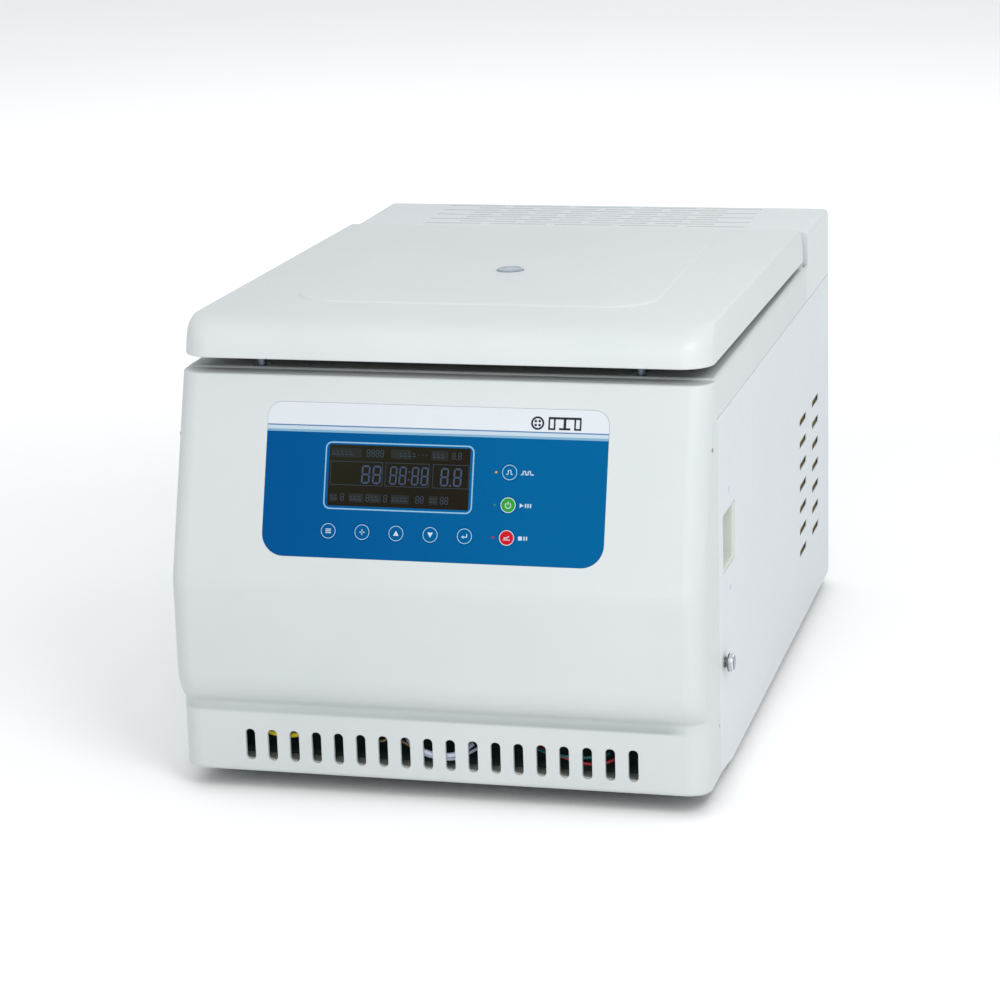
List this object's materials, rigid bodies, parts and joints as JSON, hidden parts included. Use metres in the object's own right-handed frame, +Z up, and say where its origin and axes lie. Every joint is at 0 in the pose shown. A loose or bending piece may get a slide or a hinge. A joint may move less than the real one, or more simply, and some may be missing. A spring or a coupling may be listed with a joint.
{
  "type": "laboratory centrifuge",
  "caption": "Bench-top refrigerated laboratory centrifuge: off-white casing, sloped front with a blue control panel, hinged lid slightly ajar, swing-out rotor inside.",
  "frame": {"origin": "on the bench, under the middle of the casing (the release knob on the right side is left out of the middle)", "axes": "+Z up, front face towards -Y, the machine's right side seen from the front at +X"},
  "size_m": [0.4894, 0.747, 0.4234],
  "materials": {
    "shell_paint": "satin off-white, fine orange peel",
    "overlay_film": "printed polyester film, semi-gloss",
    "display_glass": "dark smoked window over a backlit panel",
    "key_blue": "embossed film key with a white ring",
    "key_green": "embossed film key",
    "key_red": "embossed film key",
    "clear_light": "translucent moulded light guide",
    "grip_plastic": "fine-textured cream moulding",
    "steel_sheet": "brushed stainless steel",
    "steel_bright": "polished",
    "zinc_frame": "zinc-plated sheet",
    "rotor_alloy": "anodised",
    "black_plastic": "moulded, fine spark texture",
    "switch_red": "translucent red rocker",
    "rubber_black": "matt",
    "foam": "rigid polyurethane foam",
    "motor_grey": "semi-matt enamel",
    "compressor_black": "semi-gloss enamel",
    "board_green": "solder resist",
    "sight_clear": "clear plug"
  },
  "bodies": {
    "casing": {"front_bezel": "shell_paint", "control_overlay": "overlay_film", "lcd_display": "display_glass", "indicator_guide": "clear_light", "control_board": "board_green", "deck_cover": "shell_paint", "rear_hood": "shell_paint", "side_panel_right": "shell_paint", "side_panel_left": "shell_paint", "grip_cup_right": "grip_plastic", "grip_cup_left": "grip_plastic", "rear_panel": "shell_paint", "power_inlet": "black_plastic", "switch_frame": "black_plastic", "base_pan": "zinc_frame", "foot_front_left": "rubber_black", "foot_front_right": "rubber_black", "foot_rear_left": "rubber_black", "foot_rear_right": "rubber_black", "hinge_bracket_left": "zinc_frame", "hinge_bracket_right": "zinc_frame", "hinge_shaft": "steel_bright", "lid_spring_left": "zinc_frame", "lid_spring_right": "zinc_frame", "chamber_bowl": "steel_sheet", "chamber_insulation": "foam", "chamber_gasket": "rubber_black", "motor_frame": "zinc_frame", "motor": "motor_grey", "motor_damper": "rubber_black", "compressor": "compressor_black", "condenser": "motor_grey", "fan_shroud": "black_plastic", "power_module": "motor_grey"},
    "lid": {"lid_shell": "shell_paint", "lid_liner": "steel_sheet", "sight_glass": "sight_clear", "latch_pin_left": "steel_bright", "latch_pin_right": "steel_bright", "hinge_arm_left": "zinc_frame", "hinge_arm_right": "zinc_frame"},
    "latch": {"latch_bar": "zinc_frame"},
    "release": {"release_knob": "steel_bright"},
    "rotor": {"motor_shaft": "steel_bright", "rotor_yoke": "rotor_alloy", "rotor_nut": "black_plastic"},
    "fan": {"condenser_fan": "black_plastic"},
    "mains_rocker": {"power_switch": "switch_red"},
    "key_program_body": {"key_program": "key_blue"},
    "key_set_body": {"key_set": "key_blue"},
    "key_up_body": {"key_up": "key_blue"},
    "key_down_body": {"key_down": "key_blue"},
    "key_enter_body": {"key_enter": "key_blue"},
    "key_pulse_body": {"key_pulse": "key_blue"},
    "key_start_body": {"key_start": "key_green"},
    "key_stop_body": {"key_stop": "key_red"},
    "bucket_1_body": {"bucket_1": "rotor_alloy"},
    "bucket_2_body": {"bucket_2": "rotor_alloy"},
    "bucket_3_body": {"bucket_3": "rotor_alloy"},
    "bucket_4_body": {"bucket_4": "rotor_alloy"}
  },
  "joints": [
    {"name": "lid_hinge", "type": "hinge", "parent": "casing", "child": "lid", "pos_m": [0, 0.2215, 0.3995], "axis": [-1, 0, 0], "range_deg": [-0.6, 75]},
    {"name": "key_program_press", "type": "slide", "parent": "casing", "child": "key_program_body", "axis": [0, 0.95, -0.3123], "range_m": [0, 0.0006], "stiffness_N_per_m": 1500, "springref_m": -0.0004},
    {"name": "key_set_press", "type": "slide", "parent": "casing", "child": "key_set_body", "axis": [0, 0.95, -0.3123], "range_m": [0, 0.0006], "stiffness_N_per_m": 1500, "springref_m": -0.0004},
    {"name": "key_up_press", "type": "slide", "parent": "casing", "child": "key_up_body", "axis": [0, 0.95, -0.3123], "range_m": [0, 0.0006], "stiffness_N_per_m": 1500, "springref_m": -0.0004},
    {"name": "key_down_press", "type": "slide", "parent": "casing", "child": "key_down_body", "axis": [0, 0.95, -0.3123], "range_m": [0, 0.0006], "stiffness_N_per_m": 1500, "springref_m": -0.0004},
    {"name": "key_enter_press", "type": "slide", "parent": "casing", "child": "key_enter_body", "axis": [0, 0.95, -0.3123], "range_m": [0, 0.0006], "stiffness_N_per_m": 1500, "springref_m": -0.0004},
    {"name": "key_pulse_press", "type": "slide", "parent": "casing", "child": "key_pulse_body", "axis": [0, 0.95, -0.3123], "range_m": [0, 0.0006], "stiffness_N_per_m": 1500, "springref_m": -0.0004},
    {"name": "key_start_press", "type": "slide", "parent": "casing", "child": "key_start_body", "axis": [0, 0.95, -0.3123], "range_m": [0, 0.0006], "stiffness_N_per_m": 1500, "springref_m": -0.0004},
    {"name": "key_stop_press", "type": "slide", "parent": "casing", "child": "key_stop_body", "axis": [0, 0.95, -0.3123], "range_m": [0, 0.0006], "stiffness_N_per_m": 1500, "springref_m": -0.0004},
    {"name": "latch_slide", "type": "slide", "parent": "casing", "child": "latch", "axis": [1, 0, 0], "range_m": [0, 0.0032], "stiffness_N_per_m": 1500, "springref_m": -0.002},
    {"name": "release_pull", "type": "slide", "parent": "casing", "child": "release", "axis": [1, 0, 0], "range_m": [0, 0.01]},
    {"name": "rotor_spin", "type": "hinge", "parent": "casing", "child": "rotor", "pos_m": [0, -0.0535, 0.2775], "axis": [0, 0, 1], "continuous": true},
    {"name": "fan_spin", "type": "hinge", "parent": "casing", "child": "fan", "pos_m": [0.185, 0.2665, 0.1195], "axis": [1, 0, 0], "continuous": true},
    {"name": "rocker_tilt", "type": "hinge", "parent": "casing", "child": "mains_rocker", "pos_m": [-0.092, 0.3655, 0.0815], "axis": [1, 0, 0], "range_deg": [0, 14]},
    {"name": "bucket_1_swing", "type": "hinge", "parent": "rotor", "child": "bucket_1_body", "pos_m": [0.088, -0.0535, 0.2775], "axis": [0, -1, 0], "range_deg": [0, 90]},
    {"name": "bucket_2_swing", "type": "hinge", "parent": "rotor", "child": "bucket_2_body", "pos_m": [0, 0.0345, 0.2775], "axis": [1, 0, 0], "range_deg": [0, 90]},
    {"name": "bucket_3_swing", "type": "hinge", "parent": "rotor", "child": "bucket_3_body", "pos_m": [-0.088, -0.0535, 0.2775], "axis": [0, 1, 0], "range_deg": [0, 90]},
    {"name": "bucket_4_swing", "type": "hinge", "parent": "rotor", "child": "bucket_4_body", "pos_m": [0, -0.1415, 0.2775], "axis": [-1, 0, 0], "range_deg": [0, 90]}
  ],
  "couplings": [
    {"joint": "release_pull", "follows": "latch_slide", "ratio": 3.125}
  ]
}
